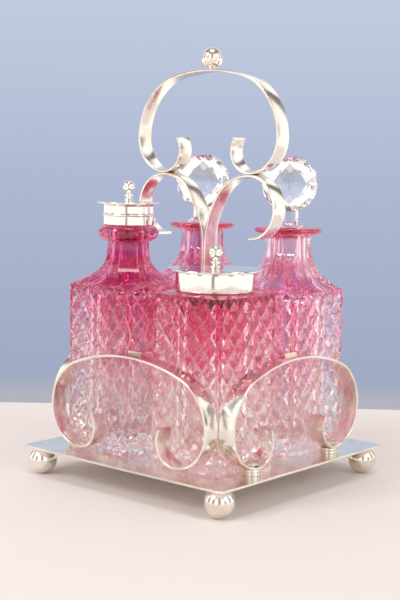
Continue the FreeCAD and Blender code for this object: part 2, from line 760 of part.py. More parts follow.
make_mustard_pot(bottle_spacing, -bottle_spacing)
make_caster(-bottle_spacing, -bottle_spacing)
for name, side in (("oil", -bottle_spacing), ("vinegar", bottle_spacing)):
    lip = make_oil_bottle(f"{name}_bottle", side, bottle_spacing)
    make_stopper(f"{name}_stopper", side, bottle_spacing, lip)

document.recompute()

# ------------------------------------------------------------------ checks and export
subparts += [item for item in document.Objects if item.TypeId == "PartDesign::Body"]
for item in document.Objects:
    if "Invalid" in item.State or "Error" in item.State:
        raise RuntimeError(f"{item.Label} failed to build: {item.State}")

os.makedirs("parts", exist_ok=True)
for part in subparts:
    if part.Shape.isNull() or not part.Shape.isValid():
        raise RuntimeError(f"{part.Label} has no valid shape")
    if part.TypeId == "PartDesign::Body" and len(part.Shape.Solids) != 1:
        raise RuntimeError(f"{part.Label} is not one solid")
for part in subparts:
    part.Shape.exportStep(f"parts/{part.Label}.step")
    print(part.Label, len(part.Shape.Solids), round(part.Shape.Volume, 1))
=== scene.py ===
"""Looks of a square plated cruet stand and its four cut-glass vessels, in metres."""
import json
import math

import bmesh
import bpy
from mathutils import Matrix, Vector


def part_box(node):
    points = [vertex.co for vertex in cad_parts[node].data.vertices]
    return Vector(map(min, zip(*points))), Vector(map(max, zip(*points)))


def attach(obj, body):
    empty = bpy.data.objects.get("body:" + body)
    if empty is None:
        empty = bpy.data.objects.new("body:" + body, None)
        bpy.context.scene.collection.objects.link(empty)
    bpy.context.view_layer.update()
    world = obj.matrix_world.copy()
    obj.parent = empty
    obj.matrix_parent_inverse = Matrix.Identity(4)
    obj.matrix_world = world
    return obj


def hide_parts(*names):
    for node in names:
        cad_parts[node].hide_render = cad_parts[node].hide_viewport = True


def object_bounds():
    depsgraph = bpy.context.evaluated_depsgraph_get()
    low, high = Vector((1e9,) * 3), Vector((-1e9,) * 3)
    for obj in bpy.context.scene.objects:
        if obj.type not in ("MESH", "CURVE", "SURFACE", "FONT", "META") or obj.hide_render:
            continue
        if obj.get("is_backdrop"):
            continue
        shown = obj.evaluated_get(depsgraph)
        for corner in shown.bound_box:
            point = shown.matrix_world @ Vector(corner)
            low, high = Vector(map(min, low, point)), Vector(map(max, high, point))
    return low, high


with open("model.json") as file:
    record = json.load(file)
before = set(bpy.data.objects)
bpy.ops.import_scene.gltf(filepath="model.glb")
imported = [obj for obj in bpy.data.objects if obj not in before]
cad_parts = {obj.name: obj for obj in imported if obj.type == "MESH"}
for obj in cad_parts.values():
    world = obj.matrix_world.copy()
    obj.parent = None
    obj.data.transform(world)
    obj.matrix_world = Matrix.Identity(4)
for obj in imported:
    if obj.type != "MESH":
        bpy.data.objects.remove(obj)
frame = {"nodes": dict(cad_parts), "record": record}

MM = 0.001
cad_low, cad_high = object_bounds()

# ------------------------------------------------------------------------------ camera
CAMERA_AZIMUTH = math.radians(40.33)
CAMERA_ELEVATION = math.radians(6.47)
CAMERA_ROLL = math.radians(1.11)
CAMERA_DISTANCE = 0.6035
CAMERA_LENS = 75
SENSOR_LONG_SIDE = 36
AIM_FROM_CENTRE = Vector((-1.64, -3.57, -17.46)) * MM


def view_axes(azimuth, elevation):
    """Right, up and backward directions of a camera that looks at the object."""
    right = Vector((math.cos(azimuth), math.sin(azimuth), 0))
    back = Vector((math.sin(azimuth) * math.cos(elevation),
                   -math.cos(azimuth) * math.cos(elevation), math.sin(elevation)))
    return right, back.cross(right), back


def make_camera():
    """The camera, which looks at the stand's front corner from a little above."""
    right, up, back = view_axes(CAMERA_AZIMUTH, CAMERA_ELEVATION)
    turned_right = right * math.cos(CAMERA_ROLL) + up * math.sin(CAMERA_ROLL)
    turned_up = up * math.cos(CAMERA_ROLL) - right * math.sin(CAMERA_ROLL)
    data = bpy.data.cameras.new("camera")
    data.lens = CAMERA_LENS
    data.sensor_width = SENSOR_LONG_SIDE
    camera = bpy.data.objects.new("camera", data)
    bpy.context.scene.collection.objects.link(camera)
    place = (cad_low + cad_high) / 2 + AIM_FROM_CENTRE + back * CAMERA_DISTANCE
    rotation = Matrix((turned_right, turned_up, back)).transposed().to_4x4()
    camera.matrix_world = Matrix.Translation(place) @ rotation
    bpy.context.scene.camera = camera


# --------------------------------------------------------------------------- materials
class Tree:
    """Short names for building one node tree."""

    def __init__(self, tree):
        self.tree = tree

    def add(self, kind, **settings):
        node = self.tree.nodes.new(kind)
        for name, value in settings.items():
            setattr(node, name, value)
        return node

    def link(self, source, target):
        self.tree.links.new(source, target)

    def spread(self, source, low, high, to_low, to_high):
        """A value moved from one range into another, and held inside it."""
        node = self.add("ShaderNodeMapRange")
        for name, value in zip(("From Min", "From Max", "To Min", "To Max"),
                               (low, high, to_low, to_high)):
            node.inputs[name].default_value = value
        self.link(source, node.inputs["Value"])
        return node.outputs["Result"]

    def ramp(self, source, stops):
        """A colour for each value, from (position, colour) stops."""
        node = self.add("ShaderNodeValToRGB")
        elements = node.color_ramp.elements
        while len(elements) < len(stops):
            elements.new(0.5)
        for element, (position, colour) in zip(elements, stops):
            element.position = position
            element.color = (*colour, 1)
        self.link(source, node.inputs["Fac"])
        return node.outputs["Color"]


class Nodes(Tree):
    """One material's nodes, placed by the object's own coordinates."""

    def __init__(self, name):
        self.material = bpy.data.materials.new(name)
        self.material.use_nodes = True
        super().__init__(self.material.node_tree)
        self.shader = self.tree.nodes["Principled BSDF"]
        self.place = self.add("ShaderNodeTexCoord").outputs["Object"]

    def noise(self, scale, detail, stretch=None):
        node = self.add("ShaderNodeTexNoise")
        node.inputs["Scale"].default_value = scale
        node.inputs["Detail"].default_value = detail
        place = self.place
        if stretch:
            mapping = self.add("ShaderNodeMapping")
            mapping.inputs["Scale"].default_value = stretch
            self.link(place, mapping.inputs["Vector"])
            place = mapping.outputs["Vector"]
        self.link(place, node.inputs["Vector"])
        return node.outputs["Fac"]

    def bump(self, height, strength, distance):
        node = self.add("ShaderNodeBump")
        node.inputs["Strength"].default_value = strength
        node.inputs["Distance"].default_value = distance
        self.link(height, node.inputs["Height"])
        self.link(node.outputs["Normal"], self.shader.inputs["Normal"])

    def set(self, name, value):
        self.shader.inputs[name].default_value = value


# Scales of the noises, where a larger one has smaller marks.
CLOUD_SCALE = 70
HAZE_SCALE = 210
SCRATCH_SCALE = 900
CLOUD_POSITIONS = (0.34, 0.52, 0.68)
HAZE_RANGE = (0.35, 0.75)
SCRATCH_STRETCH = (1, 1, 9)
SCRATCH_STRENGTH = 0.12
SCRATCH_DEPTH = 0.02 * MM


def silver(name, colours, roughness):
    """Polished plate: cloudy wear in the colour, faint swirls and fine scratches."""
    m = Nodes(name)
    m.set("Metallic", 1)
    cloud = m.noise(CLOUD_SCALE, 5)
    m.link(m.ramp(cloud, list(zip(CLOUD_POSITIONS, colours))), m.shader.inputs["Base Color"])
    haze = m.noise(HAZE_SCALE, 4)
    m.link(m.spread(haze, *HAZE_RANGE, *roughness), m.shader.inputs["Roughness"])
    m.bump(m.noise(SCRATCH_SCALE, 2, SCRATCH_STRETCH), SCRATCH_STRENGTH, SCRATCH_DEPTH)
    return m.material


GLASS_IOR = 1.55
COLOUR_WANDER = 1.5 * MM           # how far the fade strays up and down
NOISE_RANGE = (0.3, 0.7)           # the part of a noise that is used
CUT_COLOUR = (1.0, 0.97, 0.975, 1)
CUT_RANGE = (0.5, 1)               # of the main groove's depth, over which a cut turns paler
GLASS_ROUGHNESS = 0.012            # at its roughest
RIPPLE_DEPTH = 0.3 * MM
CUT_PALENESS = 0.9                 # how far the bottom of a cut has lost its colour


def glass(name, stops, low, high):
    """Lead glass coloured by height between low and high, and paler in its cuts."""
    m = Nodes(name)
    m.set("Transmission Weight", 1)
    m.set("IOR", GLASS_IOR)
    axes = m.add("ShaderNodeSeparateXYZ")
    m.link(m.place, axes.inputs["Vector"])
    wander = m.spread(m.noise(60, 3), *NOISE_RANGE, -COLOUR_WANDER, COLOUR_WANDER)
    total = m.add("ShaderNodeMath", operation="ADD")
    m.link(axes.outputs["Z"], total.inputs[0])
    m.link(wander, total.inputs[1])
    height = m.spread(total.outputs["Value"], low, high, 0, 1)
    depth = m.add("ShaderNodeAttribute", attribute_name="cut_depth").outputs["Fac"]
    paler = m.add("ShaderNodeMix", data_type="RGBA")
    m.link(m.spread(depth, *CUT_RANGE, 0, CUT_PALENESS), paler.inputs["Factor"])
    m.link(m.ramp(height, stops), paler.inputs["A"])
    paler.inputs["B"].default_value = CUT_COLOUR
    m.link(paler.outputs["Result"], m.shader.inputs["Base Color"])
    m.link(m.spread(m.noise(400, 2), *NOISE_RANGE, 0, GLASS_ROUGHNESS), m.shader.inputs["Roughness"])
    m.bump(m.noise(90, 1), 0.03, RIPPLE_DEPTH)
    return m.material


THREAD_SCALE = 1400
THREAD_STRETCH = 6                 # how much longer a thread's marks are than wide
THREAD_DEPTH = 0.2 * MM
CLOTH_STOPS = [(0.2, (0.85, 0.75, 0.73)), (0.9, (0.92, 0.85, 0.83))]


def cloth(name):
    """Pale woven table cover."""
    m = Nodes(name)
    thread = m.noise(THREAD_SCALE, 1, (1, THREAD_STRETCH, 1))
    across = m.noise(THREAD_SCALE, 1, (THREAD_STRETCH, 1, 1))
    both = m.add("ShaderNodeMath", operation="ADD")
    m.link(thread, both.inputs[0])
    m.link(across, both.inputs[1])
    m.link(m.ramp(both.outputs["Value"], CLOTH_STOPS), m.shader.inputs["Base Color"])
    m.set("Roughness", 0.9)
    m.set("Sheen Weight", 0.1)
    m.bump(both.outputs["Value"], 0.25, THREAD_DEPTH)
    return m.material


# ------------------------------------------------------------------------ mesh building
SHARP_ANGLE = math.radians(24)     # edges bent more than this stay sharp


class Shell:
    """A mesh built from rings of equal length, each joined to the one before."""

    def __init__(self):
        self.points = []
        self.faces = []
        self.smooth = []
        self.depths = {}

    def ring(self, points):
        first = len(self.points)
        self.points += [tuple(point) for point in points]
        return list(range(first, len(self.points)))

    def face(self, corners, smooth):
        self.faces.append(corners)
        self.smooth.append(smooth)

    def bridge(self, lower, upper, smooth=True):
        count = len(lower)
        for i in range(count):
            j = (i + 1) % count
            self.face((lower[i], lower[j], upper[j], upper[i]), smooth)

    def cap(self, ring, upwards):
        """Close a ring with triangles round its middle."""
        middle = [sum(self.points[i][k] for i in ring) / len(ring) for k in range(3)]
        centre = self.ring([middle])[0]
        count = len(ring)
        for i in range(count):
            pair = (ring[i], ring[(i + 1) % count])
            self.face((centre, *(pair if upwards else pair[::-1])), True)

    def finished(self, name, material, x=0.0, y=0.0):
        """Make the object, with its mesh moved to x, y, in metres."""
        mesh = bpy.data.meshes.new(name)
        mesh.from_pydata([(px + x, py + y, pz) for px, py, pz in self.points], [], self.faces)
        solid = bmesh.new()
        solid.from_mesh(mesh)
        bmesh.ops.recalc_face_normals(solid, faces=solid.faces)
        solid.to_mesh(mesh)
        solid.free()
        mesh.materials.append(material)
        if self.depths:
            depth = mesh.attributes.new("cut_depth", "FLOAT", "POINT")
            values = [self.depths.get(i, 0.0) for i in range(len(self.points))]
            depth.data.foreach_set("value", values)
        mesh.set_sharp_from_angle(angle=SHARP_ANGLE)
        mesh.polygons.foreach_set("use_smooth", self.smooth)
        piece = bpy.data.objects.new(name, mesh)
        bpy.context.scene.collection.objects.link(piece)
        return piece


def circle_ring(columns, radius, height, start=0.0):
    """Points evenly round a circle, the first at the start angle in radians."""
    return [(radius * math.cos(start + 2 * math.pi * i / columns),
             radius * math.sin(start + 2 * math.pi * i / columns), height)
            for i in range(columns)]


# --------------------------------------------------------------------- the cut bottles
CELLS_ON_FLAT = 4                  # large diamonds across one side
STEPS = 12                         # mesh steps across a large diamond
SIDE_COLUMNS = (CELLS_ON_FLAT + 1) * STEPS      # one flat and one corner
COLUMNS = SIDE_COLUMNS * 4
DIAMOND_HEIGHT = 10.9 * MM
MAIN_GROOVE = 1.45 * MM
MAIN_HALF_WIDTH = 4                # of a main groove, in mesh steps
FINE_GROOVE = 0.45 * MM
FINE_HALF_WIDTH = 2
FINE_EVERY = 6                     # mesh steps from one fine groove to the next
SMALL_EVERY = 3                    # the same in the cells with the smallest diamonds
SMALL_GROOVE = 0.4 * MM
SMALL_HALF_WIDTH = 1.5
FADE_IN_ROWS = 3                   # over which the cuts deepen above the plain foot
ZIGZAG_GAP = 2                     # mesh steps from the plain points to the first cuts
PLATE_GAP = 0.08 * MM              # air under a glass, so that it and the plate are apart
CORNER_SHARE = 0.9                 # depth of the cuts at the corners over that on the sides


def octagon(flat, corner):
    """The eight corners of an octagon from its distances to the sides and cut corners."""
    near = corner * math.sqrt(2) - flat
    quarter = [Vector((flat, -near)), Vector((flat, near))]
    return [Matrix.Rotation(turn * math.pi / 2, 2) @ point
            for turn in range(4) for point in quarter]


def column_places(flat, corner):
    """Places of all columns round an octagon: each side's flat, then its corner."""
    corners = octagon(flat, corner)
    places = []
    for side in range(8):
        start, end = corners[side], corners[(side + 1) % 8]
        count = CELLS_ON_FLAT * STEPS if side % 2 == 0 else STEPS
        places += [start.lerp(end, i / count) for i in range(count)]
    return places


def column_normals():
    """Outward directions of the columns, halfway between the sides at each edge."""
    normals = []
    for side in range(8):
        angle = side * math.pi / 4
        count = CELLS_ON_FLAT * STEPS if side % 2 == 0 else STEPS
        edge = Vector((math.cos(angle - math.pi / 8), math.sin(angle - math.pi / 8)))
        normals.append(edge / math.cos(math.pi / 8))
        normals += [Vector((math.cos(angle), math.sin(angle)))] * (count - 1)
    return normals


def groove(step, half_width, depth):
    """Depth of a V-groove at this many steps from its middle."""
    return depth * max(0.0, 1 - abs(step) / half_width)


def to_nearest(value, spacing):
    """Signed distance from value to the nearest multiple of spacing."""
    return (value + spacing / 2) % spacing - spacing / 2


def cut_depth(rising, falling, on_corner):
    """Depth of the cutting where the two families of diagonals stand at these steps."""
    main = max(groove(to_nearest(rising, STEPS), MAIN_HALF_WIDTH, MAIN_GROOVE),
               groove(to_nearest(falling, STEPS), MAIN_HALF_WIDTH, MAIN_GROOVE))
    if on_corner:
        return main * CORNER_SHARE
    cell = math.floor(rising / STEPS) * 2 + math.floor(falling / STEPS)
    if cell % 4 == 2:
        fine = 0.0
    elif cell % 4 == 0:
        fine = max(groove(to_nearest(rising, SMALL_EVERY), SMALL_HALF_WIDTH, SMALL_GROOVE),
                   groove(to_nearest(falling, SMALL_EVERY), SMALL_HALF_WIDTH, SMALL_GROOVE))
    else:
        fine = max(groove(to_nearest(rising, FINE_EVERY), FINE_HALF_WIDTH, FINE_GROOVE),
                   groove(to_nearest(falling, FINE_EVERY), FINE_HALF_WIDTH, FINE_GROOVE))
    return max(main, fine)


def on_corner(column):
    """Whether a column stands on a cut corner or on one of its two edges."""
    return column % SIDE_COLUMNS >= CELLS_ON_FLAT * STEPS or column % SIDE_COLUMNS == 0


def cut_body(shell, foot, edge, flat, corner):
    """The cut sides from the foot to the edge under the shoulder; gives both end rings."""
    places = column_places(flat, corner)
    normals = column_normals()
    rise = DIAMOND_HEIGHT / STEPS
    rows = int((edge - foot) / rise)

    def point(column, row, half):
        """A grid point, or with half set the middle of the cell above and right of it."""
        place = places[column]
        normal = normals[column]
        across, up = column, row
        if half:
            place = place.lerp(places[(column + 1) % COLUMNS], 0.5)
            if normal.length > 1.01:
                normal = normals[(column + 1) % COLUMNS]
            across, up = column + 0.5, row + 0.5
        down = rows - up
        height = edge - down * rise
        shallow = min(1.0, max(0.0, (row - 1) / FADE_IN_ROWS))
        rising, falling = across + down, across - down
        depth = cut_depth(rising, falling, on_corner(column)) * shallow
        if down < STEPS / 2 and not on_corner(column):
            scallop = abs(to_nearest(across, STEPS))
            if scallop + down < STEPS / 2 - ZIGZAG_GAP:
                depth = 0.0
        if down == 0:
            depth = 0.0
        shell.depths[len(shell.points) + column] = depth / MAIN_GROOVE
        place = place - normal * depth
        return (place.x, place.y, height)

    rings = [shell.ring([point(c, r, False) for c in range(COLUMNS)]) for r in range(rows + 1)]
    for row in range(rows):
        middles = shell.ring([point(c, row, True) for c in range(COLUMNS)])
        low, high = rings[row], rings[row + 1]
        for c in range(COLUMNS):
            d = (c + 1) % COLUMNS
            around = (low[c], low[d], high[d], high[c])
            for k in range(4):
                shell.face((around[k], around[(k + 1) % 4], middles[c]), False)
    return rings[0], rings[-1]


FLARE_ROWS = 22
FLAT_POWER = 2.7                   # how fast the sides of the shoulder draw in to the neck
CORNER_POWER = 3.4
ROW_POWER = 1.4                    # crowds the rows where the shoulder draws in fastest


def flare(shell, ring, edge, top, flat, corner, neck):
    """The eight-sided neck, drawn in from the body's edge."""
    for number in range(1, FLARE_ROWS + 1):
        share = (number / FLARE_ROWS) ** ROW_POWER
        flat_now = neck + (flat - neck) * (1 - share) ** FLAT_POWER
        corner_now = neck + (corner - neck) * (1 - share) ** CORNER_POWER
        places = column_places(flat_now, corner_now)
        height = edge + (top - edge) * share
        following = shell.ring([(p.x, p.y, height) for p in places])
        shell.bridge(ring, following)
        ring = following
    return ring


def column_angles():
    """Directions of the columns seen from the middle, in radians."""
    return [math.atan2(p.y, p.x) for p in column_places(1.0, 1.0)]


def turned_rings(shell, ring, profile):
    """Carry on from ring through rings of the given radii and heights."""
    angles = column_angles()
    for radius, height in profile:
        following = shell.ring([(radius * math.cos(a), radius * math.sin(a), height) for a in angles])
        shell.bridge(ring, following)
        ring = following
    return ring


def arc(centre_r, centre_z, radius, start, end, count):
    """Points (radius, height) along an arc between two angles in degrees."""
    angles = [math.radians(start + (end - start) * i / count) for i in range(count + 1)]
    return [(centre_r + radius * math.cos(a), centre_z + radius * math.sin(a)) for a in angles]


WALL = 3.4 * MM
BASE = 8 * MM
FOOT_BAND = 1.6 * MM
FOOT_ROUND = 0.8 * MM
FLOOR_ROUND = 4 * MM               # inside, between the floor and the wall
BORE_STEP = 0.5 * MM               # how much wider the bore is below the neck
SHOULDER_ROWS = 8
SHOULDER_POWER = 2.2
CORNER_LEG = 2.8 * MM              # of the body's cut corners, along each side
BOTTLE_SHOULDER = 77.4 * MM        # height of the cutting's top over the foot
POT_SHOULDER = 78.9 * MM           # the same on the pot and the caster


def glass_foot(shell, low, flat, corner):
    """The underside and bevelled edge of the foot, from its centre out; gives its top ring."""
    first = column_places(flat - FOOT_ROUND, corner - FOOT_ROUND)
    ring = shell.ring([(p.x, p.y, low) for p in first])
    shell.cap(ring, upwards=False)
    second = shell.ring([(p.x, p.y, low + FOOT_ROUND) for p in column_places(flat, corner)])
    shell.bridge(ring, second)
    return second


def inside(shell, ring, bore, top, shoulder, bore_start, floor, half):
    """The round inside, from the rim at the top down to the floor."""
    radius = half - WALL
    profile = [(bore, top - 0.4 * MM), (bore, bore_start + 3 * MM), (bore + BORE_STEP, bore_start)]
    span = bore_start - (shoulder - WALL)
    for number in range(1, SHOULDER_ROWS + 1):
        share = number / SHOULDER_ROWS
        profile.append((bore + BORE_STEP + (radius - bore) * share ** SHOULDER_POWER,
                        bore_start - span * share))
    profile[-1] = (radius, shoulder - WALL - 1 * MM)
    profile += arc(radius - FLOOR_ROUND, floor + FLOOR_ROUND, FLOOR_ROUND, 0, -90, 8)
    last = turned_rings(shell, ring, profile)
    shell.cap(last, upwards=True)


def vessel_sizes(node):
    """Foot, top, centre, half width and the distance to a cut corner, from the CAD."""
    low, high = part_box(node)
    centre = (low + high) / 2
    half = (high.x - low.x) / 2
    corner = (half * 2 - CORNER_LEG) / math.sqrt(2)
    return low.z + PLATE_GAP, high.z, centre, half, corner


def start_vessel(node, shoulder):
    """The foot and the cut body that all four vessels share, and their sizes."""
    low, high, centre, half, corner = vessel_sizes(node)
    shell = Shell()
    foot = glass_foot(shell, low, half, corner)
    bottom, edge_ring = cut_body(shell, low + FOOT_BAND, shoulder, half, corner)
    shell.bridge(foot, bottom)
    return shell, edge_ring, low, high, centre, half, corner


def make_bottle(node, material):
    """A bottle with a drawn-in neck and a thick turned lip."""
    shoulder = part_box(node)[0].z + BOTTLE_SHOULDER
    shell, ring, low, high, centre, half, corner = start_vessel(node, shoulder)
    lip = 3.4 * MM
    neck, bore, lip_radius = 10.5 * MM, 6.4 * MM, 16.2 * MM
    ring = flare(shell, ring, shoulder, high - lip - 1 * MM, half, corner, neck)
    lip_edge = 1.35 * MM
    under = [(neck + 0.5 * MM, high - lip - 0.3 * MM), (neck + 1.6 * MM, high - lip + 0.1 * MM),
             (lip_radius - 2.2 * MM, high - lip + 0.35 * MM)]
    edge = arc(lip_radius - lip_edge, high - lip_edge, lip_edge, -65, 90, 12)
    rim = [(lip_radius - 3 * MM, high - 0.25 * MM), (bore + 1.5 * MM, high - 0.5 * MM)]
    ring = turned_rings(shell, ring, under + edge + rim)
    inside(shell, ring, bore, high, shoulder, shoulder + 8.8 * MM, low + BASE, half)
    piece = shell.finished(f"{node}_cut", material, centre.x, centre.y)
    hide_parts(node)
    return piece


def make_caster_glass(material):
    """The caster's glass: a bulge on its neck, and a spigot for the collar."""
    node = "caster_glass"
    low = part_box(node)[0].z
    shoulder = low + POT_SHOULDER
    shell, ring, low, high, centre, half, corner = start_vessel(node, shoulder)
    neck, bore, bulge, bulge_radius = 9.9 * MM, 6.4 * MM, 7.6 * MM, 14.4 * MM
    bulge_top = high - 4.6 * MM
    bulge_low = bulge_top - bulge
    ring = flare(shell, ring, shoulder, bulge_low - 0.6 * MM, half, corner, neck)
    round_in = bulge / 2
    side = arc(bulge_radius - round_in, bulge_low + round_in, round_in, -80, 88, 18)
    spigot = bore + 2.6 * MM
    ring = turned_rings(shell, ring, [(neck + 0.5 * MM, bulge_low - 0.1 * MM)] + side
                        + [(spigot, bulge_top), (spigot, high), (bore, high)])
    inside(shell, ring, bore, high, shoulder, shoulder + 7 * MM, low + BASE, half)
    piece = shell.finished("caster_glass_cut", material, centre.x, centre.y)
    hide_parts(node)
    return piece


def make_mustard_glass(material):
    """The mustard pot's glass, with a low shoulder and a wide straight neck."""
    node = "mustard_glass"
    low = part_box(node)[0].z
    shoulder = low + POT_SHOULDER
    shell, ring, low, high, centre, half, corner = start_vessel(node, shoulder)
    neck, bore = 17.2 * MM, 14.8 * MM
    for share, drop in ((0.97, -0.15), (0.93, -0.35)):
        places = column_places(half * share, corner * share)
        following = shell.ring([(p.x, p.y, shoulder - drop * MM) for p in places])
        shell.bridge(ring, following)
        ring = following
    ring = turned_rings(shell, ring, [(neck, shoulder + 1.2 * MM), (neck, high), (bore, high)])
    radius = half - WALL
    profile = [(bore, shoulder + 1 * MM), (radius, shoulder - WALL * 2)]
    profile += arc(radius - FLOOR_ROUND, low + BASE + FLOOR_ROUND, FLOOR_ROUND, 0, -90, 8)
    shell.cap(turned_rings(shell, ring, profile), upwards=True)
    piece = shell.finished("mustard_glass_cut", material, centre.x, centre.y)
    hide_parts(node)
    return piece


# ------------------------------------------------------------------------ the stoppers
FACETS = 10
FACET_RINGS = 7
FACET_REACH = 68                   # degrees above and below the ball's middle
PLUG_LENGTH = 14 * MM
STOPPER_COLLAR = 1.2 * MM          # height of the flange that rests on the lip


def make_stopper(node, material):
    """A faceted ball on a neck with as many sides, with its flange and ground plug."""
    low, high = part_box(node)
    centre = (low + high) / 2
    ball = (high.x - low.x) / 2
    middle = high.z - ball
    shell = Shell()
    rings = []
    for number in range(FACET_RINGS):
        angle = math.radians(-FACET_REACH + FACET_REACH * 2 * number / (FACET_RINGS - 1))
        start = math.pi / FACETS * (number % 2)
        rings.append(shell.ring(circle_ring(FACETS, ball * math.cos(angle),
                                            middle + ball * math.sin(angle), start)))
    for number in range(FACET_RINGS - 1):
        lower, upper = rings[number], rings[number + 1]
        for i in range(FACETS):
            j = (i + 1) % FACETS
            if number % 2 == 0:
                shell.face((lower[i], lower[j], upper[i]), False)
                shell.face((lower[j], upper[j], upper[i]), False)
            else:
                shell.face((lower[i], upper[j], upper[i]), False)
                shell.face((lower[i], lower[j], upper[j]), False)
    shell.face(tuple(rings[-1]), False)
    neck, flange = 4.6 * MM, 7.4 * MM
    lip_top = low.z + PLUG_LENGTH
    collar_top = lip_top + STOPPER_COLLAR
    sections = [(neck, middle - ball * 0.95), (neck, collar_top + 1 * MM), (flange, collar_top),
                (flange, lip_top), (6 * MM, lip_top), (5.6 * MM, low.z + 0.5 * MM), (5.1 * MM, low.z)]
    ring = rings[0]
    for radius, height in sections:
        following = shell.ring(circle_ring(FACETS, radius, height))
        for i in range(FACETS):
            j = (i + 1) % FACETS
            shell.face((ring[j], ring[i], following[i], following[j]), False)
        ring = following
    shell.face(tuple(reversed(ring)), False)
    piece = shell.finished(f"{node}_cut", material, centre.x, centre.y)
    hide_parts(node)
    return piece


# ------------------------------------------------------------------- the silver strips
STRIP_ROUND = 0.32 * MM            # rounding of a strip's long edges
ROUND_STEPS = 4
ARC_STEP = math.radians(2.5)
SCROLL_CROWN_RADIUS = 90 * MM
SCROLL_LOWER_RADIUS = 18.5 * MM
CURL_RADIUS = 11 * MM
CURL_PAST_SIDE = math.radians(33)
RING_CROWN_RADIUS = 84 * MM
ARM_SPREAD_RADIUS = 45 * MM
ARM_SHOULDER_RADIUS = 22 * MM
ARM_OUTER_RADIUS = 16 * MM
ARM_CURL_RADIUS = 14.5 * MM
ARM_HEIGHT = 35.4 * MM             # from where the two strips part to the arms' crowns
STRIP_THICKNESS = 1.2 * MM
STEM_TAB = 10 * MM
TAB_BEND = 1.1 * MM


def curled_path(arcs, start, tail):
    """Middle of a strip along tangent arcs, each turning clockwise, as (x, z, nx, nz).

    arcs holds (centre x, centre z, outer radius); start and tail are the directions in
    which the strip leaves the first centre and ends at the last.
    """
    directions = [start]
    for (x, z, radius), (next_x, next_z, next_radius) in zip(arcs, arcs[1:]):
        gap = radius - next_radius
        directions.append(((next_x - x) / gap, (next_z - z) / gap))
    directions.append(tail)
    path = []
    for (x, z, radius), first, last in zip(arcs, directions, directions[1:]):
        begin = math.atan2(first[1], first[0])
        turn = (begin - math.atan2(last[1], last[0])) % (2 * math.pi)
        count = max(2, round(turn / ARC_STEP))
        for i in range(1 if path else 0, count + 1):
            across, up = math.cos(begin - turn * i / count), math.sin(begin - turn * i / count)
            middle = radius - STRIP_THICKNESS / 2
            path.append((x + middle * across, z + middle * up, across, up))
    return path


def arch_path(half_width, top, bottom, crown, lower, curl):
    """Both halves of an arch whose ends curl inwards."""
    side = bottom + lower
    drop = side - top + crown
    shoulder = (crown ** 2 - half_width ** 2 - drop ** 2) / ((crown - half_width) * 2)
    low_x = half_width - lower
    arcs = [(0, top - crown, crown), (half_width - shoulder, side, shoulder),
            (low_x, side, lower), (low_x, side - lower + curl, curl)]
    tail = (-math.cos(CURL_PAST_SIDE), math.sin(CURL_PAST_SIDE))
    half = curled_path(arcs, (0, 1), tail)
    return [(-x, z, -nx, nz) for x, z, nx, nz in reversed(half[1:])] + half


def strip_section(width):
    """Half-rounded outline of a strip: (through its thickness, along its width)."""
    section = []
    half_thick, half_wide = STRIP_THICKNESS / 2 - STRIP_ROUND, width / 2 - STRIP_ROUND
    for corner, (a, b) in enumerate(((1, 1), (-1, 1), (-1, -1), (1, -1))):
        for i in range(ROUND_STEPS + 1):
            angle = math.pi / 2 * (corner + i / ROUND_STEPS)
            section.append((a * half_thick + STRIP_ROUND * math.cos(angle),
                            b * half_wide + STRIP_ROUND * math.sin(angle)))
    return section


def make_strip(node, path, width, material, turn=0.0, place=(0, 0)):
    """Sweep the strip's outline along the path, turn it about Z and move it to its place."""
    shell = Shell()
    section = strip_section(width)
    cos, sin = math.cos(turn), math.sin(turn)
    ring = None
    for x, z, nx, nz in path:
        points = []
        for thick, wide in section:
            px, py, pz = x + nx * thick, wide, z + nz * thick
            points.append((px * cos - py * sin, px * sin + py * cos, pz))
        following = shell.ring(points)
        if ring:
            shell.bridge(ring, following)
        else:
            shell.face(tuple(reversed(following)), False)
        ring = following
    shell.face(tuple(ring), False)
    piece = shell.finished(f"{node}_strip", material, *place)
    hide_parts(node)
    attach(piece, "stand")


def make_scrolls(material):
    """The four side scrolls, each a quarter turn on from the last."""
    for quarter, node in enumerate(("scroll_front", "scroll_right", "scroll_back", "scroll_left")):
        low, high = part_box(node)
        size, centre = high - low, (low + high) / 2
        half_width, width = max(size.x, size.y) / 2, min(size.x, size.y)
        path = arch_path(half_width, high.z, low.z, SCROLL_CROWN_RADIUS, SCROLL_LOWER_RADIUS,
                         CURL_RADIUS)
        make_strip(node, path, width, material, quarter * math.pi / 2, (centre.x, centre.y))


def arm_crown():
    """Distance of an arm's crown from the stem."""
    rise = ARM_HEIGHT - ARM_SHOULDER_RADIUS
    gap = ARM_SPREAD_RADIUS - ARM_SHOULDER_RADIUS
    return ARM_SPREAD_RADIUS - math.sqrt(gap ** 2 - rise ** 2)


